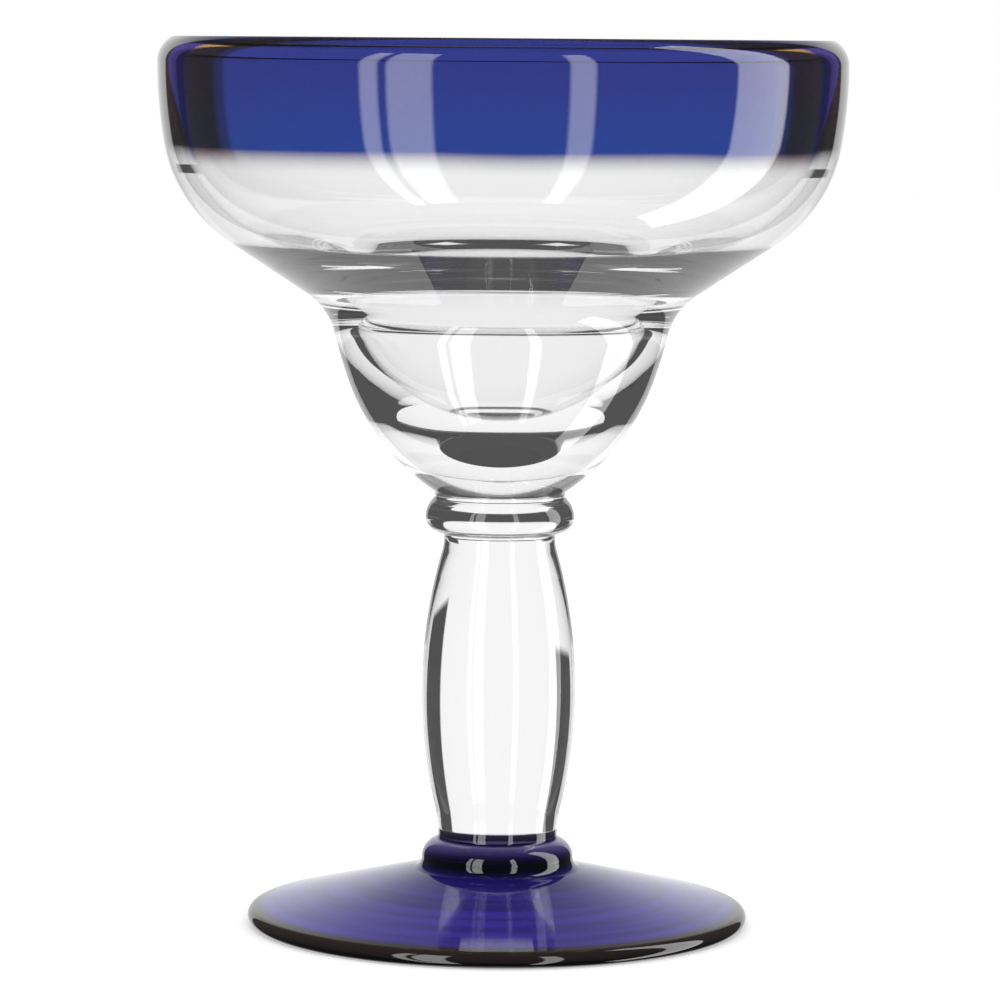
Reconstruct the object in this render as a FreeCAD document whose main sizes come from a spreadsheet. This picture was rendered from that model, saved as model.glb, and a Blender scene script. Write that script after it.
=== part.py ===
import FreeCAD, Part
import os
from math import acos, atan2, cos, pi, radians, sin, sqrt

import Sketcher

# Margarita glass: a wide bowl with a tucked lip over a deep cup, a ringed stem and a blue foot.
# Millimetres, +Z up, the origin at the centre of the plane that the foot rests on.
# Every piece is turned round the Z axis and is fused to the next on a flat joint.

SIZES = (
    ("foot_radius", 44.0, "outside of the foot"),
    ("foot_edge", 3.0, "thickness of the foot's round edge"),
    ("foot_height", 11.8, "height of the joint between foot and collar"),
    ("foot_flare", 2.0, "radius of the rise from the foot to the collar"),
    ("hollow_radius", 34.0, "outside of the hollow under the foot"),
    ("hollow_depth", 2.4, "depth of that hollow"),
    ("collar_radius", 13.3, "collar at its joint with the foot, where it is widest"),
    ("collar_height", 4.0, "collar, from the foot to the stem"),
    ("collar_round", 3.4, "radius of the collar's rounded side"),
    ("stem_length", 52.6, "stem, from the collar to the knop"),
    ("stem_foot", 10.45, "radius of the stem at the collar"),
    ("stem_belly", 13.5, "radius of the stem at its widest"),
    ("stem_top", 9.75, "radius of the stem at the knop"),
    ("stem_flare", 20.5, "radius of the hollow curve over the collar"),
    ("stem_tuck", 8.7, "radius of the hollow curve under the knop"),
    ("knop_height", 7.6, "knop, from the stem to the neck"),
    ("knop_radius", 13.05, "knop at its widest"),
    ("knop_widest", 3.65, "height of the widest part over the stem"),
    ("knop_under", 2.7, "radius of the knop's underside"),
    ("knop_over", 4.4, "radius of the knop's upper side"),
    ("neck_radius", 11.4, "joint between knop and bowl"),
    ("neck_fillet", 0.8, "radius of the groove over the neck"),
    ("cup_break", 19.65, "height over the neck where the cup's side starts to bend in"),
    ("cup_side", 75.2, "radius of the cup's side over that height"),
    ("waist_radius", 29.07, "outside of the cup just under the waist"),
    ("waist_height", 27.87, "height of that place over the neck"),
    ("waist_lean", 13.34, "lean of the cup's side there, degrees"),
    ("waist_hollow", 12.0, "radius of the hollow curve at the waist"),
    ("shoulder_rise", 33.63, "height of the top of the shoulder over that place"),
    ("shoulder_share", 0.773, "radius of the shoulder, as a share of that rise"),
    ("wall_round", 85.0, "radius of the nearly upright wall over the shoulder"),
    ("rim_radius", 60.0, "outside of the bowl at its widest"),
    ("rim_height", 75.1, "height of the widest place over the neck"),
    ("lip_bend", 5.0, "outside radius of the tucked lip"),
    ("lip_turn", 58.0, "angle that the lip bends inwards, degrees"),
    ("wall", 2.2, "thickness of the glass at the lip"),
    ("inner_wall_round", 60.0, "radius of the upright wall inside"),
    ("inner_shoulder", 25.0, "radius of the shoulder inside"),
    ("ledge_share", 0.962, "radius of the turn into the cup, as a share of the largest that fits"),
    ("bore_radius", 25.4, "inside of the cup at its mouth"),
    ("bore_height", 34.4, "height of the cup's mouth over the neck"),
    ("bore_side", 25.0, "radius of the cup's side inside"),
    ("base_thickness", 9.35, "glass under the cup's inside, over the neck"),
    ("seam_height", 57.0, "height over the neck where the blue band begins"),
)

os.makedirs("parts", exist_ok=True)
doc = FreeCAD.newDocument("margarita_glass")
sheet = doc.addObject("Spreadsheet::Sheet", "dims")
for row, (alias, value, note) in enumerate(SIZES, start=1):
    sheet.set("A%d" % row, str(value))
    sheet.setAlias("A%d" % row, alias)
    sheet.set("B%d" % row, note)
doc.recompute()

COLLAR_BASE = "dims.foot_height"
STEM_BASE = COLLAR_BASE + " + dims.collar_height"
KNOP_BASE = STEM_BASE + " + dims.stem_length"
BOWL_BASE = KNOP_BASE + " + dims.knop_height"
WAIST_HOLLOW_HEIGHT = "dims.waist_height - dims.waist_hollow * sin(dims.waist_lean)"
SHOULDER_TOP = "dims.waist_height + dims.shoulder_rise"
# From the cup's mouth to the centre of the shoulder's round inside, across and up, and the
# largest turn that fits between the two
WALL_DROP = "(dims.rim_height - dims.waist_height - dims.shoulder_rise)"
WALL_SHARE = "(1 - dims.inner_shoulder / dims.inner_wall_round)"
ROOM_ACROSS = ("(dims.rim_radius - dims.wall - dims.inner_wall_round - dims.bore_radius"
               " + sqrt(dims.inner_wall_round ^ 2 - " + WALL_DROP + " ^ 2) * " + WALL_SHARE + ")")
ROOM_UP = "(dims.rim_height - dims.bore_height - " + WALL_DROP + " * " + WALL_SHARE + ")"
LARGEST_TURN = ("(" + ROOM_ACROSS + " ^ 2 + " + ROOM_UP + " ^ 2 - dims.inner_shoulder ^ 2)"
                " / (2 * (" + ROOM_ACROSS + " + dims.inner_shoulder))")
START, END, CENTRE = range(1, 4)


def size(alias):
    """A driving dimension, from its cell."""
    return float(sheet.get(alias))


def point(radius, height):
    return FreeCAD.Vector(radius, height, 0)


def out(angle):
    """The unit vector at an angle to the radius, in degrees."""
    return point(cos(radians(angle)), sin(radians(angle)))


def heading(start, end):
    """Angle in radians of the way from one point to another."""
    return atan2(end.y - start.y, end.x - start.x)


def between(first, second):
    """The point where two circles touch, given as centre and radius, each outside the other."""
    (centre, radius), (other, other_radius) = first, second
    return centre + (other - centre) * (radius / (radius + other_radius))


def line_between(first, second, side):
    """The two touching points of a line that crosses over between two circles. It touches the
    first one on the given side of the way to the second."""
    (centre, radius), (other, other_radius) = first, second
    way = other - centre
    swing = acos((radius + other_radius) / way.Length)
    angle = heading(centre, other) + (swing if side == "left" else -swing)
    normal = point(cos(angle), sin(angle))
    return centre + normal * radius, other - normal * other_radius


def bend_into(side, normal, fillet, fillet_radius):
    """Radius of the arc that leaves a point square to its normal and touches a small circle."""
    way = side - fillet
    return (way.dot(way) - fillet_radius ** 2) / (2 * (way.dot(normal) + fillet_radius))


class Section:
    """The half section of a turned piece: radius across, height over its own base up."""

    def __init__(self, body, name):
        self.body = body
        self.sketch = body.newObject("Sketcher::SketchObject", name)
        planes = [plane for plane in body.Origin.OriginFeatures if plane.Role == "XZ_Plane"]
        self.sketch.AttachmentSupport = [(planes[0], "")]
        self.sketch.MapMode = "FlatFace"
        self.outline = []

    def line(self, start, end):
        index = self.sketch.addGeometry(Part.LineSegment(start, end), False)
        self.outline.append((index, START, END))
        return index

    def arc(self, centre, start, end, clockwise=False):
        """An arc round a centre. Its own ends are swapped where the outline runs clockwise."""
        low, high = (end, start) if clockwise else (start, end)
        from_angle = heading(centre, low)
        sweep = (heading(centre, high) - from_angle) % (2 * pi)
        circle = Part.Circle(centre, FreeCAD.Vector(0, 0, 1), (start - centre).Length)
        index = self.sketch.addGeometry(Part.ArcOfCircle(circle, from_angle, from_angle + sweep), False)
        self.outline.append((index, END, START) if clockwise else (index, START, END))
        return index

    def close(self, *corners):
        """Joins the outline into a loop that is smooth all round, but for the corners at the
        start of the pieces named."""
        for place, (index, start, _) in enumerate(self.outline):
            before, _, end = self.outline[place - 1]
            kind = "Coincident" if index in corners else "Tangent"
            self.sketch.addConstraint(Sketcher.Constraint(kind, before, end, index, start))

    def bind(self, constraint, name, formula):
        index = self.sketch.addConstraint(constraint)
        self.sketch.renameConstraint(index, name)
        self.sketch.setExpression("Constraints." + name, formula)

    def radius(self, arc, formula, name):
        value = self.sketch.Geometry[arc].Radius
        self.bind(Sketcher.Constraint("Radius", arc, value), name, formula)

    def across(self, piece, end, formula, name):
        value = self.sketch.getPoint(piece, end).x
        self.bind(Sketcher.Constraint("DistanceX", piece, end, value), name, formula)

    def up(self, piece, end, formula, name):
        value = self.sketch.getPoint(piece, end).y
        self.bind(Sketcher.Constraint("DistanceY", piece, end, value), name, formula)

    def on_axis(self, piece, end):
        self.sketch.addConstraint(Sketcher.Constraint("PointOnObject", piece, end, -2))

    def on_base(self, piece, end):
        self.sketch.addConstraint(Sketcher.Constraint("PointOnObject", piece, end, -1))

    def upright_at(self, arc, end):
        """Puts an arc's centre level with one of its ends."""
        self.sketch.addConstraint(Sketcher.Constraint("Horizontal", arc, CENTRE, arc, end))

    def turn(self):
        """The solid that the section makes in one turn round the axis."""
        solid = self.body.newObject("PartDesign::Revolution", self.sketch.Name + "_turned")
        solid.Profile = self.sketch
        solid.ReferenceAxis = (self.sketch, ["V_Axis"])
        solid.Angle = 360
        self.sketch.Visibility = False
        return self.body


def body_at(label, base):
    """An empty body whose own base is at a height on the axis."""
    body = doc.addObject("PartDesign::Body", label)
    body.Label = label
    body.setExpression(".Placement.Base.z", base)
    return body


def make_foot():
    """A low cone with a round edge. Its hollow underside leaves a flat ring to stand on."""
    section = Section(body_at("foot", "0"), "foot_section")
    half_edge = size("foot_edge") / 2
    flare = size("foot_flare")
    joint = point(size("collar_radius"), size("foot_height"))
    joint_middle = point(0, joint.y)
    edge = point(size("foot_radius") - half_edge, half_edge)
    ring_outside = point(edge.x, 0)
    ring_inside = point(size("hollow_radius"), 0)
    hollow_top = point(0, size("hollow_depth"))
    hollow_round = (ring_inside.x ** 2 + hollow_top.y ** 2) / (2 * hollow_top.y)
    flare_centre = joint + point(flare, 0)
    cone_bottom, cone_top = line_between((edge, half_edge), (flare_centre, flare), "right")

    hollow = section.arc(hollow_top - point(0, hollow_round), hollow_top, ring_inside, clockwise=True)
    ring = section.line(ring_inside, ring_outside)
    rounded = section.arc(edge, ring_outside, cone_bottom)
    section.line(cone_bottom, cone_top)
    rise = section.arc(flare_centre, cone_top, joint, clockwise=True)
    seat = section.line(joint, joint_middle)
    middle = section.line(joint_middle, hollow_top)
    section.close(hollow, ring, seat, middle)

    section.on_axis(hollow, CENTRE)
    section.on_axis(middle, END)
    section.up(middle, END, "dims.hollow_depth", "hollow_depth")
    section.on_base(ring, START)
    section.across(ring, START, "dims.hollow_radius", "hollow_radius")
    section.on_base(ring, END)
    section.radius(rounded, "dims.foot_edge / 2", "edge_round")
    section.across(rounded, CENTRE, "dims.foot_radius - dims.foot_edge / 2", "edge_centre")
    section.radius(rise, "dims.foot_flare", "flare")
    section.upright_at(rise, START)
    section.across(seat, START, "dims.collar_radius", "joint_radius")
    section.up(seat, START, "dims.foot_height", "joint_height")
    section.on_axis(seat, END)
    section.up(seat, END, "dims.foot_height", "joint_middle")
    return section.turn()


def make_collar():
    """A rounded shoulder on the foot that narrows to the stem."""
    section = Section(body_at("foot_collar", COLLAR_BASE), "collar_section")
    origin = point(0, 0)
    seat_edge = point(size("collar_radius"), 0)
    stem_edge = point(size("stem_foot"), size("collar_height"))
    round_centre = seat_edge - point(size("collar_round"), 0)
    # The hollow curve is upright at the stem and touches the rounded side
    way = stem_edge - round_centre
    hollow_radius = (way.dot(way) - size("collar_round") ** 2) / (2 * (size("collar_round") - way.x))
    hollow_centre = stem_edge + point(hollow_radius, 0)
    touch = between((round_centre, size("collar_round")), (hollow_centre, hollow_radius))
    top_middle = point(0, stem_edge.y)

    seat = section.line(origin, seat_edge)
    rounded = section.arc(round_centre, seat_edge, touch)
    hollow = section.arc(hollow_centre, touch, stem_edge, clockwise=True)
    top = section.line(stem_edge, top_middle)
    middle = section.line(top_middle, origin)
    section.close(seat, rounded, top, middle)

    hold_disc(section, seat, END, START, "dims.collar_radius", None, "seat")
    section.upright_at(rounded, START)
    section.radius(rounded, "dims.collar_round", "collar_round")
    section.upright_at(hollow, START)
    hold_disc(section, top, START, END, "dims.stem_foot", "dims.collar_height", "stem_joint")
    return section.turn()


def hold_disc(section, line, edge, middle, radius, height, name):
    """Holds one of the flat joints that a section ends on: its edge and its middle."""
    section.across(line, edge, radius, name + "_radius")
    section.on_axis(line, middle)
    if height is None:
        section.on_base(line, edge)
        section.on_base(line, middle)
    else:
        section.up(line, edge, height, name + "_height")
        section.up(line, middle, height, name + "_middle")


def make_stem():
    """A solid stem that swells towards its lower half, upright at both joints."""
    section = Section(body_at("stem", STEM_BASE), "stem_section")
    origin = point(0, 0)
    foot_edge = point(size("stem_foot"), 0)
    top_edge = point(size("stem_top"), size("stem_length"))
    top_middle = point(0, top_edge.y)
    flare = (foot_edge + point(size("stem_flare"), 0), size("stem_flare"))
    tuck = (top_edge + point(size("stem_tuck"), 0), size("stem_tuck"))
    belly = belly_circle(flare, tuck, size("stem_belly"))
    belly_start = between(flare, belly)
    belly_end = between(belly, tuck)

    seat = section.line(origin, foot_edge)
    low = section.arc(flare[0], foot_edge, belly_start, clockwise=True)
    swell = section.arc(belly[0], belly_start, belly_end)
    high = section.arc(tuck[0], belly_end, top_edge, clockwise=True)
    top = section.line(top_edge, top_middle)
    middle = section.line(top_middle, origin)
    widest = section.sketch.addGeometry(Part.Point(belly[0] + point(belly[1], 0)), True)
    section.close(seat, low, top, middle)

    hold_disc(section, seat, END, START, "dims.stem_foot", None, "collar_joint")
    section.upright_at(low, END)
    section.radius(low, "dims.stem_flare", "flare")
    section.sketch.addConstraint(Sketcher.Constraint("PointOnObject", widest, START, swell))
    section.sketch.addConstraint(Sketcher.Constraint("Horizontal", widest, START, swell, CENTRE))
    section.across(widest, START, "dims.stem_belly", "belly")
    section.upright_at(high, START)
    section.radius(high, "dims.stem_tuck", "tuck")
    hold_disc(section, top, START, END, "dims.stem_top", "dims.stem_length", "knop_joint")
    return section.turn()


def belly_circle(low, high, widest):
    """Centre and radius of the circle that touches two others from inside, at a given widest
    radius from the axis. Its radius is found by halving."""
    length = high[0].y - low[0].y

    def rise(circle, radius):
        across = circle[0].x - (widest - radius)
        return sqrt(max((circle[1] + radius) ** 2 - across ** 2, 0))

    small = 1.0
    large = 100 * length
    while large - small > 1e-9:
        radius = (small + large) / 2
        if rise(low, radius) + rise(high, radius) < length:
            small = radius
        else:
            large = radius
    return point(widest - small, low[0].y + rise(low, small)), small


def make_knop():
    """A solid ring between the stem and the bowl."""
    section = Section(body_at("stem_knop", KNOP_BASE), "knop_section")
    origin = point(0, 0)
    stem_edge = point(size("stem_top"), 0)
    neck_edge = point(size("neck_radius"), size("knop_height"))
    neck_middle = point(0, neck_edge.y)
    widest = point(size("knop_radius"), size("knop_widest"))
    under = (widest - point(size("knop_under"), 0), size("knop_under"))
    over = (widest - point(size("knop_over"), 0), size("knop_over"))
    tuck_radius = closing_radius(under, stem_edge)
    tuck = (stem_edge + point(tuck_radius, 0), tuck_radius)
    groove_radius = closing_radius(over, neck_edge)
    groove = (neck_edge + point(groove_radius, 0), groove_radius)
    under_start = between(tuck, under)
    over_end = between(over, groove)

    seat = section.line(origin, stem_edge)
    hollow = section.arc(tuck[0], stem_edge, under_start, clockwise=True)
    lower = section.arc(under[0], under_start, widest)
    upper = section.arc(over[0], widest, over_end)
    neck = section.arc(groove[0], over_end, neck_edge, clockwise=True)
    top = section.line(neck_edge, neck_middle)
    middle = section.line(neck_middle, origin)
    section.close(seat, hollow, top, middle)

    hold_disc(section, seat, END, START, "dims.stem_top", None, "stem_joint")
    section.upright_at(hollow, END)
    section.upright_at(lower, END)
    section.across(lower, END, "dims.knop_radius", "widest_radius")
    section.up(lower, END, "dims.knop_widest", "widest_height")
    section.radius(lower, "dims.knop_under", "under_round")
    section.radius(upper, "dims.knop_over", "over_round")
    section.upright_at(neck, START)
    hold_disc(section, top, START, END, "dims.neck_radius", "dims.knop_height", "neck_joint")
    return section.turn()


def closing_radius(circle, edge):
    """Radius of the small hollow curve that is upright at an edge and touches a round."""
    way = edge - circle[0]
    return (way.dot(way) - circle[1] ** 2) / (2 * (circle[1] - way.x))


def make_bowl_blank():
    """The whole bowl in one wall: cup, waist, shoulder and tucked lip, outside and inside."""
    section = Section(body_at("bowl_blank", BOWL_BASE), "bowl_section")

    # Outside, from the lip down
    rim = point(size("rim_radius"), size("rim_height"))
    wall_centre = rim - point(size("wall_round"), 0)
    waist = point(size("waist_radius"), size("waist_height"))
    wall_drop = rim.y - waist.y - size("shoulder_rise")
    wall_foot = wall_centre + below(size("wall_round"), wall_drop)
    inward = (wall_centre - wall_foot) * (1 / size("wall_round"))
    shoulder_round = size("shoulder_rise") * size("shoulder_share")
    shoulder = (wall_foot + inward * shoulder_round, shoulder_round)
    waist_normal = out(-size("waist_lean"))
    waist_hollow = (waist + waist_normal * size("waist_hollow"), size("waist_hollow"))
    cone_start, cone_end = line_between(waist_hollow, shoulder, "left")
    side_centre = waist - waist_normal * size("cup_side")
    cup_break = side_centre + below(size("cup_side"), side_centre.y - size("cup_break"))
    side_normal = (cup_break - side_centre) * (1 / size("cup_side"))
    neck_edge = point(size("neck_radius"), 0)
    neck = (neck_edge + point(size("neck_fillet"), 0), size("neck_fillet"))
    lower_radius = bend_into(cup_break, side_normal, *neck)
    lower = (cup_break - side_normal * lower_radius, lower_radius)
    lower_start = between(neck, lower)

    # Lip
    lip_centre = rim - point(size("lip_bend"), 0)
    lip_inner = size("lip_bend") - size("wall")
    lip_top = lip_centre + out(size("lip_turn")) * size("lip_bend")
    lip_inside = lip_centre + out(size("lip_turn")) * lip_inner

    # Inside, from the lip down
    inner_rim = rim - point(size("wall"), 0)
    inner_centre = inner_rim - point(size("inner_wall_round"), 0)
    inner_foot = inner_centre + below(size("inner_wall_round"), wall_drop)
    inner_inward = (inner_centre - inner_foot) * (1 / size("inner_wall_round"))
    inner_shoulder = (inner_foot + inner_inward * size("inner_shoulder"), size("inner_shoulder"))
    bore = point(size("bore_radius"), size("bore_height"))
    # The largest turn into the cup would touch the shoulder's round, with no ledge between them
    room = inner_shoulder[0] - bore
    largest_turn = (room.dot(room) - size("inner_shoulder") ** 2) / (2 * (room.x + size("inner_shoulder")))
    turn_radius = size("ledge_share") * largest_turn
    turn = (bore + point(turn_radius, 0), turn_radius)
    slope_end, slope_start = line_between(inner_shoulder, turn, "left")
    bore_centre = bore - point(size("bore_side"), 0)
    bottom = point(0, size("base_thickness"))
    drop = bore_centre.y - bottom.y
    bottom_radius = (bore_centre.x ** 2 + drop ** 2 - size("bore_side") ** 2) / (2 * (drop - size("bore_side")))
    bottom_centre = bottom + point(0, bottom_radius)
    way = bore_centre - bottom_centre
    bottom_edge = bore_centre + way * (size("bore_side") / way.Length)
    origin = point(0, 0)

    seat = section.line(origin, neck_edge)
    fillet = section.arc(neck[0], neck_edge, lower_start, clockwise=True)
    section.arc(lower[0], lower_start, cup_break)
    side = section.arc(side_centre, cup_break, waist)
    hollow = section.arc(waist_hollow[0], waist, cone_start, clockwise=True)
    section.line(cone_start, cone_end)
    shoulder_out = section.arc(shoulder[0], cone_end, wall_foot)
    wall = section.arc(wall_centre, wall_foot, rim)
    lip = section.arc(lip_centre, rim, lip_top)
    section.arc((lip_top + lip_inside) * 0.5, lip_top, lip_inside)
    lip_in = section.arc(lip_centre, lip_inside, inner_rim, clockwise=True)
    wall_in = section.arc(inner_centre, inner_rim, inner_foot, clockwise=True)
    shoulder_in = section.arc(inner_shoulder[0], inner_foot, slope_end, clockwise=True)
    section.line(slope_end, slope_start)
    mouth = section.arc(turn[0], slope_start, bore)
    bore_in = section.arc(bore_centre, bore, bottom_edge, clockwise=True)
    bottom_in = section.arc(bottom_centre, bottom_edge, bottom, clockwise=True)
    middle = section.line(bottom, origin)
    section.close(seat, fillet, middle)

    hold_disc(section, seat, END, START, "dims.neck_radius", None, "knop_joint")
    section.upright_at(fillet, END)
    section.radius(fillet, "dims.neck_fillet", "neck_fillet")
    section.up(side, START, "dims.cup_break", "cup_break")
    section.radius(side, "dims.cup_side", "cup_side")
    section.across(side, END, "dims.waist_radius", "waist_radius")
    section.up(side, END, "dims.waist_height", "waist_height")
    section.radius(hollow, "dims.waist_hollow", "waist_hollow")
    section.up(hollow, CENTRE, WAIST_HOLLOW_HEIGHT, "waist_lean")
    section.radius(shoulder_out, "dims.shoulder_rise * dims.shoulder_share", "shoulder_round")
    section.up(wall, START, SHOULDER_TOP, "wall_foot")
    section.radius(wall, "dims.wall_round", "wall_round")
    section.across(wall, END, "dims.rim_radius", "rim_radius")
    section.up(wall, END, "dims.rim_height", "rim_height")
    section.upright_at(wall, END)
    section.radius(lip, "dims.lip_bend", "lip_bend")
    section.bind(Sketcher.Constraint("Angle", lip, radians(size("lip_turn"))), "lip_turn", "dims.lip_turn")
    section.sketch.addConstraint(Sketcher.Constraint("Coincident", lip_in, CENTRE, lip, CENTRE))
    section.across(wall_in, END, "dims.rim_radius - dims.wall", "inner_rim")
    section.upright_at(wall_in, END)
    section.radius(wall_in, "dims.inner_wall_round", "inner_wall_round")
    section.up(wall_in, START, SHOULDER_TOP, "inner_foot")
    section.radius(shoulder_in, "dims.inner_shoulder", "inner_shoulder")
    section.radius(mouth, "dims.ledge_share * " + LARGEST_TURN, "turn_round")
    section.across(mouth, END, "dims.bore_radius", "bore_radius")
    section.up(mouth, END, "dims.bore_height", "bore_height")
    section.upright_at(mouth, END)
    section.radius(bore_in, "dims.bore_side", "bore_side")
    section.on_axis(bottom_in, CENTRE)
    section.on_axis(middle, START)
    section.up(middle, START, "dims.base_thickness", "base_thickness")
    return section.turn()


def below(radius, depth):
    """From a circle's centre to the outward point that lies lower by a depth."""
    return point(sqrt(radius ** 2 - depth ** 2), -depth)


def split_bowl(blank):
    """The blank is parted level with the start of the blue band."""
    upper = doc.addObject("Part::Cylinder", "over_the_seam")
    upper.setExpression("Radius", "dims.rim_radius + dims.wall")
    upper.setExpression("Height", "dims.rim_height + dims.lip_bend - dims.seam_height")
    upper.setExpression(".Placement.Base.z", BOWL_BASE + " + dims.seam_height")
    bowl = doc.addObject("Part::Cut", "bowl")
    bowl.Base = blank
    bowl.Tool = upper
    band = doc.addObject("Part::Common", "rim_band")
    band.Base = blank
    band.Tool = upper
    return bowl, band


def check():
    """Stops at the first object that failed."""
    for item in doc.Objects:
        if "Invalid" in item.State or "Error" in item.State:
            raise RuntimeError("%s failed: %s" % (item.Name, item.State))
    for item in doc.findObjects("Sketcher::SketchObject"):
        if not item.FullyConstrained:
            raise RuntimeError("%s is not fully constrained" % item.Name)


pieces = [make_foot(), make_collar(), make_stem(), make_knop()]
blank = make_bowl_blank()
doc.recompute()
pieces += split_bowl(blank)
doc.recompute()
check()
for piece in pieces:
    if piece.Shape.isNull() or not piece.Shape.isValid() or len(piece.Shape.Solids) != 1:
        raise RuntimeError("%s is not one sound solid" % piece.Label)
for piece in pieces:
    piece.Shape.exportStep("parts/%s.step" % piece.Label)
    box = piece.Shape.optimalBoundingBox()
    print("%-12s %8.2f cm3  radius %.2f  z %.2f to %.2f" % (
        piece.Label, piece.Shape.Volume / 1000, box.XMax, box.ZMin, box.ZMax))
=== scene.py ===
from math import acos, atan2, ceil, cos, pi, radians, sin, sqrt

import bpy
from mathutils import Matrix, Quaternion, Vector


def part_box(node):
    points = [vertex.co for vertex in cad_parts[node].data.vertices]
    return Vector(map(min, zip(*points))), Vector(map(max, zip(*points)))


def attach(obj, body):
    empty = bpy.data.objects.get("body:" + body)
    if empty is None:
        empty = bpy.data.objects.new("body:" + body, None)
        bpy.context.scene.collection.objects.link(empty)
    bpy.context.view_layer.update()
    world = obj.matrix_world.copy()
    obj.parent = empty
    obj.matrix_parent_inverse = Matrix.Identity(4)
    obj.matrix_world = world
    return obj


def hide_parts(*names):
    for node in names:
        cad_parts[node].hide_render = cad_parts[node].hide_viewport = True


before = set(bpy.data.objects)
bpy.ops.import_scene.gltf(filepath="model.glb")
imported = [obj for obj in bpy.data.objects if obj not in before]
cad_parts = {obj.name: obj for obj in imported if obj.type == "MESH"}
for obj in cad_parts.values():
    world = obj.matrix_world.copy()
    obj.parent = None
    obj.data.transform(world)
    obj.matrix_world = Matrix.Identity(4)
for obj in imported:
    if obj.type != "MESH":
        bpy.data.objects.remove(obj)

# Margarita glass with a blue rim and a blue foot, as fused pieces of turned glass.
# Outlines are half sections: radius across, height up, in millimetres until the mesh is made.

MM = 0.001
# Steps of the mesh: round the axis, and along an arc by angle and by length
TURN_STEPS = 288
ARC_STEP = radians(2.5)
ARC_LONGEST = 0.8
# Decimals that tell two points apart, and the least radius of a point off the axis
DECIMALS = 5
OFF_AXIS = 1e-6
# Hair between the drawn faces of two fused pieces
JOINT_GAP = 0.004


def v(radius, height):
    return Vector((radius, height))


def out(angle):
    """The unit vector at an angle to the radius, in degrees."""
    return v(cos(radians(angle)), sin(radians(angle)))


def heading(start, end):
    return atan2(end.y - start.y, end.x - start.x)


def touch(first, second):
    """Where two circles touch, each given as centre and radius and each outside the other."""
    (centre, radius), (other, other_radius) = first, second
    return centre + (other - centre) * (radius / (radius + other_radius))


def line_between(first, second, side):
    """Ends of the line that crosses over from one circle to another, touching both."""
    (centre, radius), (other, other_radius) = first, second
    angle = heading(centre, other) + side * acos((radius + other_radius) / (other - centre).length)
    normal = v(cos(angle), sin(angle))
    return centre + normal * radius, other - normal * other_radius


def low_point(centre, radius, depth):
    """The outward point of a circle that lies lower than its centre by a depth."""
    return centre + v(sqrt(radius ** 2 - depth ** 2), -depth)


def hollow_from(edge, circle):
    """The hollow round that is upright at an edge, outside it, and touches a circle."""
    way = edge - circle[0]
    radius = (way.length_squared - circle[1] ** 2) / (2 * (circle[1] - way.x))
    return edge + v(radius, 0), radius


class Outline:
    """A half section, drawn from the axis outwards along its base and round to the axis again.
    Each stretch keeps its points, the way that its surface faces there and what it is."""

    def __init__(self):
        self.stretches = []

    def line(self, start, end, kind="outside"):
        way = (end - start).normalized()
        facing = v(way.y, -way.x)
        self.stretches.append(([start.copy(), end.copy()], [facing, facing], kind))

    def arc(self, centre, start, end, clockwise=False, kind="outside"):
        turn = -1 if clockwise else 1
        radius = (start - centre).length
        first = heading(centre, start)
        sweep = (turn * (heading(centre, end) - first)) % (2 * pi)
        steps = max(ceil(sweep / ARC_STEP), ceil(sweep * radius / ARC_LONGEST), 2)
        points = []
        facings = []
        for step in range(steps + 1):
            angle = first + turn * sweep * step / steps
            ray = v(cos(angle), sin(angle))
            points.append(centre + ray * radius)
            facings.append(ray * turn)
        self.stretches.append((points, facings, kind))

    def draw_back_joints(self):
        """Leaves a hair between the faces of fused pieces, so that light meets them one by one."""
        same_level = JOINT_GAP / 4
        for joint_points, joint_facings, kind in self.stretches:
            if kind == "joint":
                level = joint_points[0].y
                drawn = level - joint_facings[0].y * JOINT_GAP
                for points, _, _ in self.stretches:
                    for point in points:
                        if abs(point.y - level) < same_level:
                            point.y = drawn


def turn_at(place):
    """The angle round the axis at a step of the turn."""
    return 2 * pi * place / TURN_STEPS


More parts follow.
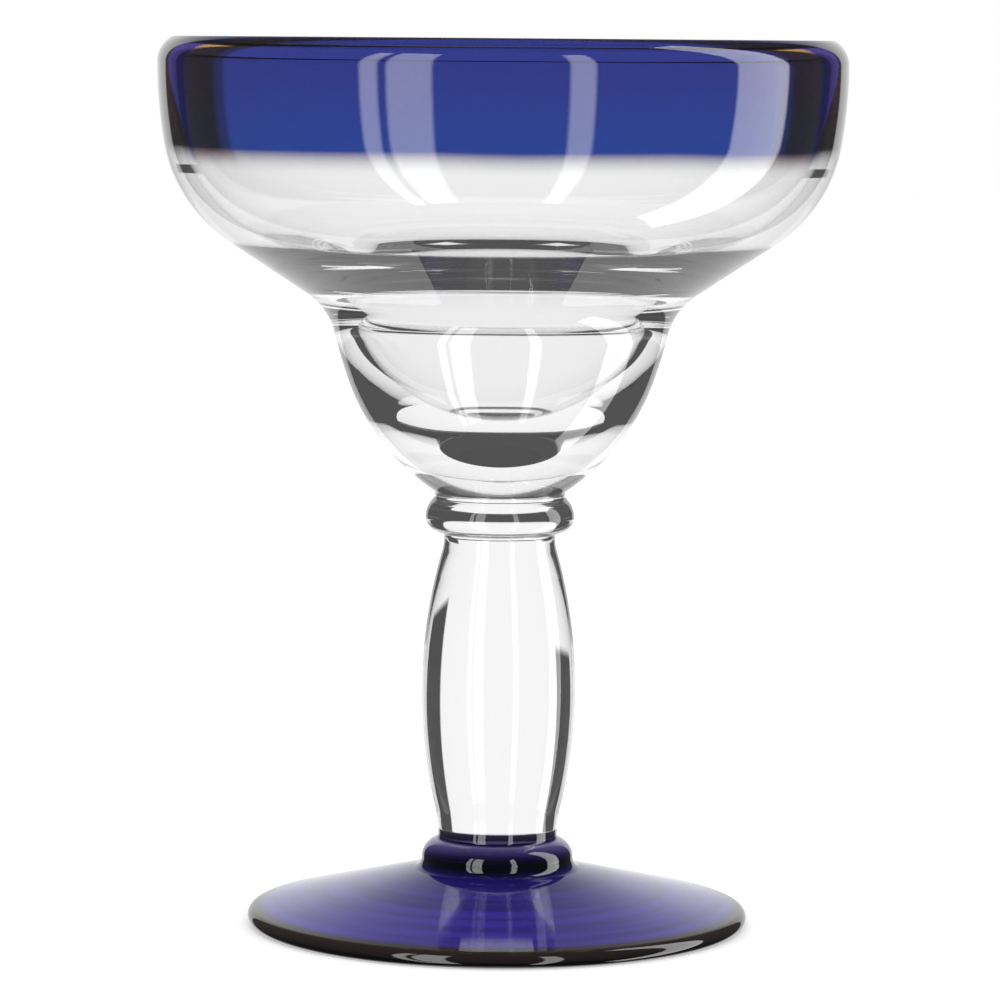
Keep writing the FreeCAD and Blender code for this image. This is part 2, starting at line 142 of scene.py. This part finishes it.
def turned(name, outline, base, material, node):
    """The closed mesh that an outline makes as it turns round the axis, with exact normals."""
    outline.draw_back_joints()
    verts = []
    faces = []
    normals = []
    kinds = []
    rings = {}

    def ring(point):
        """The vertices of a point as it turns: one alone where it lies on the axis."""
        key = (round(point.x, DECIMALS), round(point.y, DECIMALS))
        if key not in rings:
            height = (base + point.y) * MM
            count = TURN_STEPS if point.x > OFF_AXIS else 1
            rings[key] = [len(verts) + place for place in range(count)]
            for place in range(count):
                angle = turn_at(place)
                verts.append((point.x * MM * cos(angle), point.x * MM * sin(angle), height))
        return rings[key]

    def facing_at(facing, place):
        angle = turn_at(place)
        return facing.x * cos(angle), facing.x * sin(angle), facing.y

    def side(ring_verts, facing, places):
        """A face's corners on one ring, each with its vertex, its facing and its place."""
        if len(ring_verts) == 1:
            return [(ring_verts[0], facing, sum(places) / 2)]
        return [(ring_verts[place % TURN_STEPS], facing, place) for place in places]

    for points, facings, kind in outline.stretches:
        for step in range(len(points) - 1):
            low, high = ring(points[step]), ring(points[step + 1])
            low_facing, high_facing = facings[step], facings[step + 1]
            if len(low) == 1 and len(high) == 1:
                continue
            for place in range(TURN_STEPS):
                after = place + 1
                corners = side(low, low_facing, (place, after)) + side(high, high_facing, (after, place))
                faces.append([vert for vert, _, _ in corners])
                normals += [facing_at(facing, spot) for _, facing, spot in corners]
                kinds.append(kind)
    mesh = bpy.data.meshes.new(name)
    mesh.from_pydata(verts, [], faces)
    mesh.polygons.foreach_set("use_smooth", [True] * len(faces))
    mesh.normals_split_custom_set(normals)
    for kind in ("joint", "inside", "under"):
        values = mesh.attributes.new(kind, "FLOAT", "FACE")
        values.data.foreach_set("value", [float(face_kind == kind) for face_kind in kinds])
    mesh.materials.append(material)
    piece = bpy.data.objects.new(name, mesh)
    bpy.context.scene.collection.objects.link(piece)
    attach(piece, "root")
    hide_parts(node)
    return piece


def joint_height(node):
    """Height of a node's lower face, from the frame."""
    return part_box(node)[0].z / MM


# Heights of the joints, and of the rim
COLLAR_BASE = joint_height("foot_collar")
STEM_BASE = joint_height("stem")
KNOP_BASE = joint_height("stem_knop")
BOWL_BASE = joint_height("bowl")
BAND_BASE = joint_height("rim_band")
RIM_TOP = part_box("rim_band")[1].z / MM

# Radii of the joints
COLLAR_JOINT = 13.3
STEM_FOOT = 10.45
STEM_TOP = 9.75
NECK = 11.4


def foot_outline():
    radius = 44.0
    half_edge = 1.5
    flare = 2.0
    hollow_edge = v(34.0, 0)
    hollow_top = v(0, 2.4)
    hollow_round = (hollow_edge.x ** 2 + hollow_top.y ** 2) / (2 * hollow_top.y)
    edge = v(radius - half_edge, half_edge)
    ring_edge = v(edge.x, 0)
    flare_centre = v(COLLAR_JOINT + flare, COLLAR_BASE)
    cone_bottom, cone_top = line_between((edge, half_edge), (flare_centre, flare), -1)
    shape = Outline()
    shape.arc(hollow_top - v(0, hollow_round), hollow_top, hollow_edge, clockwise=True, kind="under")
    shape.line(hollow_edge, ring_edge, kind="under")
    shape.arc(edge, ring_edge, cone_bottom)
    shape.line(cone_bottom, cone_top)
    shape.arc(flare_centre, cone_top, v(COLLAR_JOINT, COLLAR_BASE), clockwise=True)
    shape.line(v(COLLAR_JOINT, COLLAR_BASE), v(0, COLLAR_BASE), kind="joint")
    return shape


def collar_outline():
    height = STEM_BASE - COLLAR_BASE
    side_round = 3.4
    side = (v(COLLAR_JOINT - side_round, 0), side_round)
    hollow = hollow_from(v(STEM_FOOT, height), side)
    shape = Outline()
    shape.line(v(0, 0), v(COLLAR_JOINT, 0), kind="joint")
    shape.arc(side[0], v(COLLAR_JOINT, 0), touch(side, hollow))
    shape.arc(hollow[0], touch(side, hollow), v(STEM_FOOT, height), clockwise=True)
    shape.line(v(STEM_FOOT, height), v(0, height), kind="joint")
    return shape


def stem_outline():
    height = KNOP_BASE - STEM_BASE
    widest = 13.5
    flare_round = 20.5
    tuck_round = 8.7
    flare = (v(STEM_FOOT + flare_round, 0), flare_round)
    tuck = (v(STEM_TOP + tuck_round, height), tuck_round)
    swell = swell_circle(flare, tuck, widest)
    shape = Outline()
    shape.line(v(0, 0), v(STEM_FOOT, 0), kind="joint")
    shape.arc(flare[0], v(STEM_FOOT, 0), touch(flare, swell), clockwise=True)
    shape.arc(swell[0], touch(flare, swell), touch(swell, tuck))
    shape.arc(tuck[0], touch(swell, tuck), v(STEM_TOP, height), clockwise=True)
    shape.line(v(STEM_TOP, height), v(0, height), kind="joint")
    return shape


def swell_circle(low, high, widest):
    """The circle that touches two others from inside and reaches a widest radius, by halving."""
    length = high[0].y - low[0].y
    close = 1e-7

    def rise(circle, radius):
        across = circle[0].x - (widest - radius)
        return sqrt(max((circle[1] + radius) ** 2 - across ** 2, 0))

    small = 1.0
    large = 100 * length
    while large - small > close:
        radius = (small + large) / 2
        if rise(low, radius) + rise(high, radius) < length:
            small = radius
        else:
            large = radius
    return v(widest - small, low[0].y + rise(low, small)), small


def knop_outline():
    height = BOWL_BASE - KNOP_BASE
    widest = v(13.05, 3.65)
    under_round = 2.7
    over_round = 4.4
    under = (widest - v(under_round, 0), under_round)
    over = (widest - v(over_round, 0), over_round)
    tuck = hollow_from(v(STEM_TOP, 0), under)
    groove = hollow_from(v(NECK, height), over)
    shape = Outline()
    shape.line(v(0, 0), v(STEM_TOP, 0), kind="joint")
    shape.arc(tuck[0], v(STEM_TOP, 0), touch(tuck, under), clockwise=True)
    shape.arc(under[0], touch(tuck, under), widest)
    shape.arc(over[0], widest, touch(over, groove))
    shape.arc(groove[0], touch(over, groove), v(NECK, height), clockwise=True)
    shape.line(v(NECK, height), v(0, height), kind="joint")
    return shape


def bowl_outlines():
    """The bowl and its band, drawn as one wall and parted level with the joint."""
    seam = BAND_BASE - BOWL_BASE
    rim = v(60.0, 75.1)
    wall = 2.2
    lip_bend = 5.0
    lip_turn = 58.0

    # Outside
    waist = v(29.07, 27.87)
    waist_lean = 13.34
    waist_round = 12.0
    waist_facing = out(-waist_lean)
    waist_hollow = (waist + waist_facing * waist_round, waist_round)
    shoulder_rise = 33.63
    shoulder_share = 0.773
    shoulder_round = shoulder_share * shoulder_rise
    wall_round = 85.0
    wall_drop = rim.y - waist.y - shoulder_rise
    wall_centre = rim - v(wall_round, 0)
    wall_foot = low_point(wall_centre, wall_round, wall_drop)
    inward = (wall_centre - wall_foot).normalized()
    shoulder = (wall_foot + inward * shoulder_round, shoulder_round)
    cone_start, cone_end = line_between(waist_hollow, shoulder, 1)
    cup_side = 75.2
    break_height = 19.65
    side_centre = waist - waist_facing * cup_side
    cup_break = low_point(side_centre, cup_side, side_centre.y - break_height)
    side_facing = (cup_break - side_centre).normalized()
    fillet_round = 0.8
    fillet = (v(NECK + fillet_round, 0), fillet_round)
    way = cup_break - fillet[0]
    lower_round = (way.length_squared - fillet[1] ** 2) / (2 * (way.dot(side_facing) + fillet[1]))
    lower = (cup_break - side_facing * lower_round, lower_round)

    # Lip
    lip_centre = rim - v(lip_bend, 0)
    lip_top = lip_centre + out(lip_turn) * lip_bend
    lip_inside = lip_centre + out(lip_turn) * (lip_bend - wall)

    # Inside
    inner_rim = rim - v(wall, 0)
    inner_round = 60.0
    inner_turn = 25.0
    bore_round = 25.0
    ledge_share = 0.962
    base_thickness = 9.35
    inner_centre = inner_rim - v(inner_round, 0)
    inner_foot = low_point(inner_centre, inner_round, wall_drop)
    inner_shoulder = (inner_foot + (inner_centre - inner_foot).normalized() * inner_turn, inner_turn)
    bore = v(25.4, 34.4)
    room = inner_shoulder[0] - bore
    largest_turn = (room.length_squared - inner_turn ** 2) / (2 * (room.x + inner_turn))
    ledge_round = ledge_share * largest_turn
    ledge = (bore + v(ledge_round, 0), ledge_round)
    slope_end, slope_start = line_between(inner_shoulder, ledge, 1)
    bore_centre = bore - v(bore_round, 0)
    bottom = v(0, base_thickness)
    drop = bore_centre.y - bottom.y
    bottom_round = (bore_centre.x ** 2 + drop ** 2 - bore_round ** 2) / (2 * (drop - bore_round))
    bottom_centre = bottom + v(0, bottom_round)
    bottom_edge = bore_centre + (bore_centre - bottom_centre).normalized() * bore_round

    # The seam crosses both shoulders level
    outer_seam = low_point(*shoulder, shoulder[0].y - seam)
    inner_seam = low_point(*inner_shoulder, inner_shoulder[0].y - seam)

    bowl = Outline()
    bowl.line(v(0, 0), v(NECK, 0), kind="joint")
    bowl.arc(fillet[0], v(NECK, 0), touch(fillet, lower), clockwise=True)
    bowl.arc(lower[0], touch(fillet, lower), cup_break)
    bowl.arc(side_centre, cup_break, waist)
    bowl.arc(waist_hollow[0], waist, cone_start, clockwise=True)
    bowl.line(cone_start, cone_end)
    bowl.arc(shoulder[0], cone_end, outer_seam)
    bowl.line(outer_seam, inner_seam, kind="joint")
    bowl.arc(inner_shoulder[0], inner_seam, slope_end, clockwise=True, kind="inside")
    bowl.line(slope_end, slope_start, kind="inside")
    bowl.arc(ledge[0], slope_start, bore, kind="inside")
    bowl.arc(bore_centre, bore, bottom_edge, clockwise=True, kind="inside")
    bowl.arc(bottom_centre, bottom_edge, bottom, clockwise=True, kind="inside")

    band = Outline()
    band.line(inner_seam, outer_seam, kind="joint")
    band.arc(shoulder[0], outer_seam, wall_foot)
    band.arc(wall_centre, wall_foot, rim)
    band.arc(lip_centre, rim, lip_top)
    band.arc((lip_top + lip_inside) / 2, lip_top, lip_inside, kind="inside")
    band.arc(lip_centre, lip_inside, inner_rim, clockwise=True, kind="inside")
    band.arc(inner_centre, inner_rim, inner_foot, clockwise=True, kind="inside")
    band.arc(inner_shoulder[0], inner_foot, inner_seam, clockwise=True, kind="inside")
    return bowl, band


# Materials


class Nodes:
    """A short way to write a node tree."""

    def __init__(self, tree):
        self.tree = tree

    def add(self, kind, label="", **settings):
        node = self.tree.nodes.new(kind)
        node.label = label
        for name, value in settings.items():
            setattr(node, name, value)
        return node

    def feed(self, source, target):
        """A socket's input: another socket, or a plain value."""
        if isinstance(source, bpy.types.NodeSocket):
            self.tree.links.new(source, target)
        else:
            target.default_value = source

    def maths(self, operation, *values):
        node = self.add("ShaderNodeMath", operation=operation)
        for place, value in enumerate(values):
            self.feed(value, node.inputs[place])
        return node.outputs[0]

    def ramp(self, value, low, high, start=0.0, end=1.0):
        """A smooth step from start to end as a value goes from low to high."""
        node = self.add("ShaderNodeMapRange", interpolation_type="SMOOTHSTEP")
        for place, source in enumerate((value, low, high, start, end)):
            self.feed(source, node.inputs[place])
        return node.outputs[0]

    def mix(self, mask, first, second):
        """From the first value to the second as a mask goes from 0 to 1."""
        node = self.add("ShaderNodeMix", data_type="FLOAT")
        self.feed(mask, node.inputs[0])
        self.feed(first, node.inputs[2])
        self.feed(second, node.inputs[3])
        return node.outputs[0]

    def blend(self, mask, first, second):
        """The same for two colours."""
        node = self.add("ShaderNodeMix", data_type="RGBA")
        self.feed(mask, node.inputs[0])
        self.feed(first, node.inputs[6])
        self.feed(second, node.inputs[7])
        return node.outputs[2]

    def at_least(self, number, count):
        """1 where a count that light keeps, of reflections or crossings, has reached a number."""
        return self.maths("GREATER_THAN", count, number - 0.5)

    def fewer_than(self, number, count):
        """1 where such a count hasn't reached it yet."""
        return self.maths("LESS_THAN", count, number - 0.5)


GLASS_IOR = 1.51
AIR_IOR = 1.0
# Light of the dark side of the studio
ROOM = 0.084
WHITE = (1, 1, 1, 1)
NEARLY_BLACK = (0.001, 0.001, 0.001, 1)
# Heights in metres between which a look changes: the blue band fades in and then deepens, and the
# foot's painted edge shade ends and its top darkens towards the collar
BAND_FADE = (0.1332, 0.1371)
BAND_DEEPER = (0.1360, 0.1520)
EDGE_SHADE_ENDS = (0.0031, 0.0037)
FOOT_DARKER = (0.0060, 0.0110)
# How far the foot's top goes to its darker colour, and how far up and down the band's fade wanders
FOOT_DARKEST = 0.8
FADE_WANDER = 0.0012
# The joints under this height are the neck's
NECK_TOP = 0.100
# How far the wall turns from the eye, where each colour of the band's ends comes in
NAVY_IN = (0.40, 0.43)
DARK_IN = (0.44, 0.47)
VIOLET_IN = (0.59, 0.63)
# The same for the last one, at the fade and near the lip, and how soft it comes in
BROWN_IN = (0.61, 0.73)
BROWN_SOFT = 0.03


def crossing(red, green, blue):
    """The shader colour that tints light by a colour at one crossing: it works by its root."""
    return red ** 2, green ** 2, blue ** 2, 1


# Blue of the band just over its fade, near the lip, and on the lip itself
BAND_LOW = crossing(0.024, 0.062, 0.33)
BAND_HIGH = crossing(0.032, 0.044, 0.27)
BAND_TIP = crossing(0.164, 0.190, 0.50)
# What the wall adds to that at the ends of the band, from the middle outwards
END_NAVY = crossing(0.74, 0.55, 0.45)
END_DARK = crossing(0.56, 0.34, 0.12)
END_VIOLET = crossing(0.09, 0.06, 0.30)
END_BROWN = crossing(0.025, 0.016, 0.018)
# Blue at the surface of the foot: between its rings, in them and near the collar, and a painted
# near-black shade at its edge
FOOT_LIGHT = crossing(0.085, 0.050, 0.46)
FOOT_DEEP = crossing(0.050, 0.028, 0.30)
FOOT_DARK = crossing(0.030, 0.018, 0.16)
FOOT_EDGE_SHADE = crossing(0.04, 0.03, 0.02)
# Blue all through the foot and its collar
DEPTH_COLOUR = (0.19, 0.11, 0.45, 1)
DEPTH_DENSITY = 135.0


def glass(name):
    """Polished glass. Light crosses the faces of a fused joint without bending, and also the
    underside of the foot, which lies on the white table."""
    material = bpy.data.materials.new(name)
    material.use_nodes = True
    nodes = Nodes(material.node_tree)
    shader = material.node_tree.nodes["Principled BSDF"]
    shader.inputs["Transmission Weight"].default_value = 1.0
    shader.inputs["Roughness"].default_value = 0.0
    # A plain value too, because the export drops a linked one
    shader.inputs["IOR"].default_value = GLASS_IOR
    open_face = nodes.maths("MAXIMUM", face_mark(nodes, "joint"), face_mark(nodes, "under"))
    nodes.feed(nodes.ramp(open_face, 0.0, 1.0, GLASS_IOR, AIR_IOR), shader.inputs["IOR"])
    return material, nodes, shader


def darken(nodes, shader, mask, colour):
    """Gives the glass its colour, and where a mask is 1 a painted shade instead: near black, with a
    faint glow as the light of a dark room.
    """
    nodes.feed(nodes.blend(mask, colour, NEARLY_BLACK), shader.inputs["Base Color"])
    shader.inputs["Emission Color"].default_value = WHITE
    nodes.feed(nodes.maths("MULTIPLY", mask, ROOM), shader.inputs["Emission Strength"])


def face_mark(nodes, kind):
    """1 on the faces of one kind of stretch."""
    return nodes.add("ShaderNodeAttribute", attribute_name=kind).outputs["Fac"]


def height_of(nodes):
    """Height over the table, in metres."""
    place = nodes.add("ShaderNodeNewGeometry")
    parts = nodes.add("ShaderNodeSeparateXYZ")
    nodes.feed(place.outputs["Position"], parts.inputs[0])
    return parts.outputs["Z"]


def turning_marks():
    """What turning leaves in hot glass: fine rings round the axis, and a slow drift round it."""
    group = bpy.data.node_groups.new("turning_marks", "ShaderNodeTree")
    for name in ("Ring Scale", "Wander Scale", "Drift Scale"):
        group.interface.new_socket(name, in_out="INPUT", socket_type="NodeSocketFloat")
    for name in ("Rings", "Drift"):
        group.interface.new_socket(name, in_out="OUTPUT", socket_type="NodeSocketFloat")
    nodes = Nodes(group)
    ring_scale, wander_scale, drift_scale = nodes.add("NodeGroupInput").outputs[:3]
    place = nodes.add("ShaderNodeTexCoord")
    parts = nodes.add("ShaderNodeSeparateXYZ")
    nodes.feed(place.outputs["Object"], parts.inputs[0])
    across = parts.outputs["X"]
    depth = parts.outputs["Y"]

    def times(first, second):
        return nodes.maths("MULTIPLY", first, second)

    radius = nodes.maths("SQRT", nodes.maths("ADD", times(across, across), times(depth, depth)))

    def noise(spot_parts, detail, label):
        spot = nodes.add("ShaderNodeCombineXYZ")
        for source, target in zip(spot_parts, spot.inputs):
            nodes.feed(source, target)
        texture = nodes.add("ShaderNodeTexNoise", label)
        nodes.feed(spot.outputs[0], texture.inputs["Vector"])
        texture.inputs["Scale"].default_value = 1.0
        texture.inputs["Detail"].default_value = detail
        return texture.outputs[0]

    ring_spot = (times(radius, ring_scale), times(across, wander_scale), times(depth, wander_scale))
    rings = noise(ring_spot, 3.0, "rings")
    drift = noise((times(across, drift_scale), times(depth, drift_scale), 0.0), 1.0, "drift")
    faint_to_full = (0.36, 0.66)
    ends = nodes.add("NodeGroupOutput")
    nodes.feed(nodes.ramp(rings, *faint_to_full), ends.inputs["Rings"])
    nodes.feed(drift, ends.inputs["Drift"])
    return group


def placed(nodes, group, values):
    """A group in a material's tree, with that material's own values."""
    node = nodes.add("ShaderNodeGroup", node_tree=group)
    for name, value in values.items():
        node.inputs[name].default_value = value
    return node


def clear_glass():
    """Clear, but with painted shade at the neck's joints for light that was mirrored on its way to them:
    near black, with a faint glow.
    """
    material, nodes, shader = glass("glass_clear")
    path = nodes.add("ShaderNodeLightPath")
    mirrored = nodes.at_least(1, path.outputs["Glossy Depth"])
    low = nodes.maths("LESS_THAN", height_of(nodes), NECK_TOP)
    # Painted shade: the neck's joints go near black with a faint room glow for mirrored light
    dark = nodes.maths("MULTIPLY", nodes.maths("MULTIPLY", mirrored, low), face_mark(nodes, "joint"))
    darken(nodes, shader, dark, WHITE)
    return material


def cobalt_glass(marks_group):
    """Blue all through, and bluer at the foot's surface, in faint rings. The foot's round edge has a
    painted near-black shade, for light that runs along it there. Where light that comes in from the
    clear glass was mirrored on its way, the glass shows painted shade: near black, with a faint glow."""
    material, nodes, shader = glass("glass_cobalt")
    level = height_of(nodes)
    path = nodes.add("ShaderNodeLightPath")
    place = nodes.add("ShaderNodeNewGeometry")
    first = nodes.fewer_than(1, path.outputs["Transmission Depth"])
    marks = placed(nodes, marks_group, {"Ring Scale": 420.0, "Wander Scale": 22.0})
    tint = nodes.blend(marks.outputs["Rings"], FOOT_LIGHT, FOOT_DEEP)
    tint = nodes.blend(nodes.ramp(level, *FOOT_DARKER, 0.0, FOOT_DARKEST), tint, FOOT_DARK)
    # Painted shade: the foot's round edge goes near black at light's first crossing
    tint = nodes.blend(nodes.ramp(level, *EDGE_SHADE_ENDS, 1.0, 0.0), tint, FOOT_EDGE_SHADE)
    just_over_joint = 0.1
    foot_top = (COLLAR_BASE + just_over_joint) * MM
    on_foot = nodes.maths("LESS_THAN", level, foot_top)
    tint = nodes.blend(nodes.maths("MULTIPLY", on_foot, first), WHITE, tint)

    # Painted shade: outward faces that light reaches mirrored, after crossing in, go near black with a
    # faint room glow
    mirrored = nodes.at_least(1, path.outputs["Glossy Depth"])
    outward = nodes.maths("SUBTRACT", 1.0, place.outputs["Backfacing"])
    later = nodes.maths("SUBTRACT", 1.0, first)
    dark = nodes.maths("MULTIPLY", mirrored, nodes.maths("MULTIPLY", outward, later))
    darken(nodes, shader, dark, tint)

    volume = nodes.add("ShaderNodeVolumeAbsorption")
    volume.inputs["Color"].default_value = DEPTH_COLOUR
    volume.inputs["Density"].default_value = DEPTH_DENSITY
    output = material.node_tree.nodes["Material Output"]
    material.node_tree.links.new(volume.outputs[0], output.inputs["Volume"])
    return material


def rim_glass(marks_group):
    """Blue on the inner face of the wall, fading out downwards. Light that has come in at the
    front of the glass meets the blue once: the far side of the band doesn't darken it again.
    The ends of the band are darker, where the wall is seen along its length."""
    material, nodes, shader = glass("glass_rim")
    level = height_of(nodes)
    marks = placed(nodes, marks_group, {"Drift Scale": 30.0})
    middle_of_noise = 0.5
    drift = nodes.maths("SUBTRACT", marks.outputs["Drift"], middle_of_noise)
    wander = nodes.maths("MULTIPLY", drift, FADE_WANDER)
    fade = nodes.ramp(nodes.maths("ADD", level, wander), *BAND_FADE)
    path = nodes.add("ShaderNodeLightPath")
    crossings = path.outputs["Transmission Depth"]
    at_front = nodes.fewer_than(1, crossings)
    near = nodes.fewer_than(2, crossings)
    blue = nodes.blend(nodes.ramp(level, *BAND_DEEPER), BAND_LOW, BAND_HIGH)
    blue = nodes.blend(at_front, blue, BAND_TIP)
    inside = nodes.maths("MULTIPLY", near, face_mark(nodes, "inside"))

    edge = nodes.add("ShaderNodeLayerWeight")
    turn = edge.outputs["Facing"]
    ends = WHITE
    for colour, coming_in in ((END_NAVY, NAVY_IN), (END_DARK, DARK_IN), (END_VIOLET, VIOLET_IN)):
        ends = nodes.blend(nodes.ramp(turn, *coming_in), ends, colour)
    brown_from = nodes.ramp(level, *BAND_DEEPER, *BROWN_IN)
    brown = nodes.ramp(nodes.maths("SUBTRACT", turn, brown_from), 0.0, BROWN_SOFT)
    ends = nodes.blend(brown, ends, END_BROWN)
    outside = nodes.maths("SUBTRACT", 1.0, face_mark(nodes, "inside"))
    outside = nodes.maths("MULTIPLY", outside, at_front)

    colour = nodes.blend(nodes.maths("MULTIPLY", fade, inside), WHITE, blue)
    colour = nodes.blend(nodes.maths("MULTIPLY", fade, outside), colour, ends)
    nodes.feed(colour, shader.inputs["Base Color"])
    return material


# Stage


def white_floor():
    """A wide pale table, a hair under the foot. The glass itself shows the studio's light instead."""
    mesh = bpy.data.meshes.new("floor")
    half = 4.0
    level = -0.00003
    glow = 0.35
    corners = [(side * half, end * half, level) for side, end in ((-1, -1), (1, -1), (1, 1), (-1, 1))]
    mesh.from_pydata(corners, [], [(0, 1, 2, 3)])
    material = bpy.data.materials.new("floor_white")
    material.use_nodes = True
    shader = material.node_tree.nodes["Principled BSDF"]
    shader.inputs["Base Color"].default_value = (0.9, 0.9, 0.9, 1)
    shader.inputs["Roughness"].default_value = 0.9
    shader.inputs["Emission Color"].default_value = WHITE
    shader.inputs["Emission Strength"].default_value = glow
    mesh.materials.append(material)
    floor = bpy.data.objects.new("floor", mesh)
    bpy.context.scene.collection.objects.link(floor)
    floor.visible_glossy = False
    floor.visible_transmission = False


# The studio is drawn in patches, each from one azimuth to another and from one elevation to
# another. Both are in degrees, and azimuth is 0 at the camera's side and positive to the right.
# Bright cards that the outside of the glass reflects, with their strengths
CARDS = {
    "right softbox": ((83, 108, -60, 60), 4.6),
    "right strip": ((21.8, 30.3, -60, 40), 4.4),
    "left strip": ((-38.4, -23.1, -60, 40), 4.4),
    "left thin strip": ((-47.7, -41.5, -60, 40), 4.4),
}
# Dark boards behind the glass, seen through it, with the share of the light that they take
BOARDS = {
    "left board": ((-142, -118, -13.4, 35), 0.92),
    "right board": ((118, 142, -20, 35), 0.92),
}
# White paper on both sides of the back, by azimuth without its sign: what the outside of the
# glass mirrors, what one reflection inside shows, what one shows past the hollow of the bowl, and
# what two or more show, up to the last that still meets paper
PAPER_OUTSIDE = (151, 181, -90, 70)
PAPER_ROUND = (142, 181, -75, 48)
PAPER_BACK = (157, 181, -10, 65)
PAPER_WIDE = (86, 181, -9, 48)
LAST_REFLECTION = 4
# The crossing that takes light past the hollow
PAST_HOLLOW = 3
PAPER = 1.0
# The paper that the outside mirrors dims between these elevations, to this
PAPER_DIMS = (12, 42)
PAPER_DIM = 0.25
# Half the width of a patch's soft edge
SOFT_EDGE = 1.0
TO_DEGREES = 180 / pi


def studio():
    """White behind and above, dark at the sides, with bright cards."""
    world = bpy.data.worlds.new("studio")
    bpy.context.scene.world = world
    world.use_nodes = True
    world.node_tree.nodes.clear()
    nodes = Nodes(world.node_tree)
    place = nodes.add("ShaderNodeTexCoord")
    parts = nodes.add("ShaderNodeSeparateXYZ")
    nodes.feed(place.outputs["Generated"], parts.inputs[0])
    across, depth, up = parts.outputs
    azimuth = nodes.maths("ARCTAN2", across, nodes.maths("MULTIPLY", depth, -1.0))
    azimuth = nodes.maths("MULTIPLY", azimuth, TO_DEGREES)
    around = nodes.maths("ABSOLUTE", azimuth)
    elevation = nodes.maths("MULTIPLY", nodes.maths("ARCSINE", up), TO_DEGREES)

    def between(value, low, high):
        """1 between two bounds of a value, with soft ends."""
        return nodes.maths("MULTIPLY", nodes.ramp(value, low - SOFT_EDGE, low + SOFT_EDGE),
                           nodes.ramp(value, high - SOFT_EDGE, high + SOFT_EDGE, 1.0, 0.0))

    def patch(azimuth_now, bounds):
        low, high, bottom, top = bounds
        return nodes.maths("MULTIPLY", between(azimuth_now, low, high), between(elevation, bottom, top))

    cards = 0.0
    for bounds, strength in CARDS.values():
        card = nodes.maths("MULTIPLY", patch(azimuth, bounds), strength)
        cards = nodes.maths("ADD", cards, card)
    boards = 0.0
    for bounds, share in BOARDS.values():
        board = nodes.maths("MULTIPLY", patch(azimuth, bounds), share)
        boards = nodes.maths("MAXIMUM", boards, board)
    through = nodes.maths("MULTIPLY", nodes.maths("SUBTRACT", 1.0, boards), PAPER)

    path = nodes.add("ShaderNodeLightPath")
    reflections = path.outputs["Glossy Depth"]
    crossings = path.outputs["Transmission Depth"]
    reflected = nodes.at_least(1, reflections)
    once = nodes.fewer_than(2, reflections)
    few = nodes.fewer_than(LAST_REFLECTION + 1, reflections)
    entered = nodes.at_least(1, crossings)
    past = nodes.at_least(PAST_HOLLOW, crossings)

    high_paper = nodes.ramp(elevation, *PAPER_DIMS, PAPER, PAPER_DIM)
    outside = nodes.mix(patch(around, PAPER_OUTSIDE), ROOM, high_paper)
    outside = nodes.maths("ADD", outside, cards)
    inner = nodes.mix(past, patch(around, PAPER_ROUND), patch(around, PAPER_BACK))
    inner = nodes.mix(once, nodes.maths("MULTIPLY", patch(around, PAPER_WIDE), few), inner)
    inner = nodes.mix(inner, ROOM, PAPER)
    mirrored = nodes.mix(entered, outside, inner)
    light = nodes.mix(reflected, through, mirrored)
    light = nodes.mix(path.outputs["Is Camera Ray"], light, 1.0)
    background = nodes.add("ShaderNodeBackground")
    background.inputs["Color"].default_value = WHITE
    nodes.feed(light, background.inputs["Strength"])
    output = nodes.add("ShaderNodeOutputWorld")
    nodes.feed(background.outputs[0], output.inputs["Surface"])


def photo_camera():
    """The photo's view: level with the rim, tilted down a little, with a slight roll."""
    distance = 0.830
    height = RIM_TOP * MM
    tilt = radians(5.547)
    roll = radians(0.45)
    data = bpy.data.cameras.new("camera")
    data.sensor_width = 36.0
    data.lens = 171.25
    camera = bpy.data.objects.new("camera", data)
    bpy.context.scene.collection.objects.link(camera)
    camera.location = (0, -distance, height)
    camera.rotation_mode = "QUATERNION"
    upright = Quaternion((1, 0, 0), pi / 2 - tilt)
    camera.rotation_quaternion = upright @ Quaternion((0, 0, 1), roll)
    bpy.context.scene.camera = camera


def render_settings():
    """Enough bounces for light to cross every wall of the glass and the reflections inside it."""
    scene = bpy.context.scene
    scene.view_settings.view_transform = "Standard"
    scene.cycles.max_bounces = 32
    scene.cycles.transmission_bounces = 32
    scene.cycles.glossy_bounces = 16
    scene.cycles.transparent_max_bounces = 16
    scene.cycles.use_denoising = True
    scene.cycles.sample_clamp_indirect = 10.0


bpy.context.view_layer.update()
marks = turning_marks()
clear = clear_glass()
cobalt = cobalt_glass(marks)
rim_blue = rim_glass(marks)
bowl_shape, band_shape = bowl_outlines()
turned("glass_foot", foot_outline(), 0.0, cobalt, "foot")
turned("glass_collar", collar_outline(), COLLAR_BASE, cobalt, "foot_collar")
turned("glass_stem", stem_outline(), STEM_BASE, clear, "stem")
turned("glass_knop", knop_outline(), KNOP_BASE, clear, "stem_knop")
turned("glass_bowl", bowl_shape, BOWL_BASE, clear, "bowl")
turned("glass_band", band_shape, BOWL_BASE, rim_blue, "rim_band")
white_floor()
studio()
photo_camera()
render_settings()
bpy.context.view_layer.update()
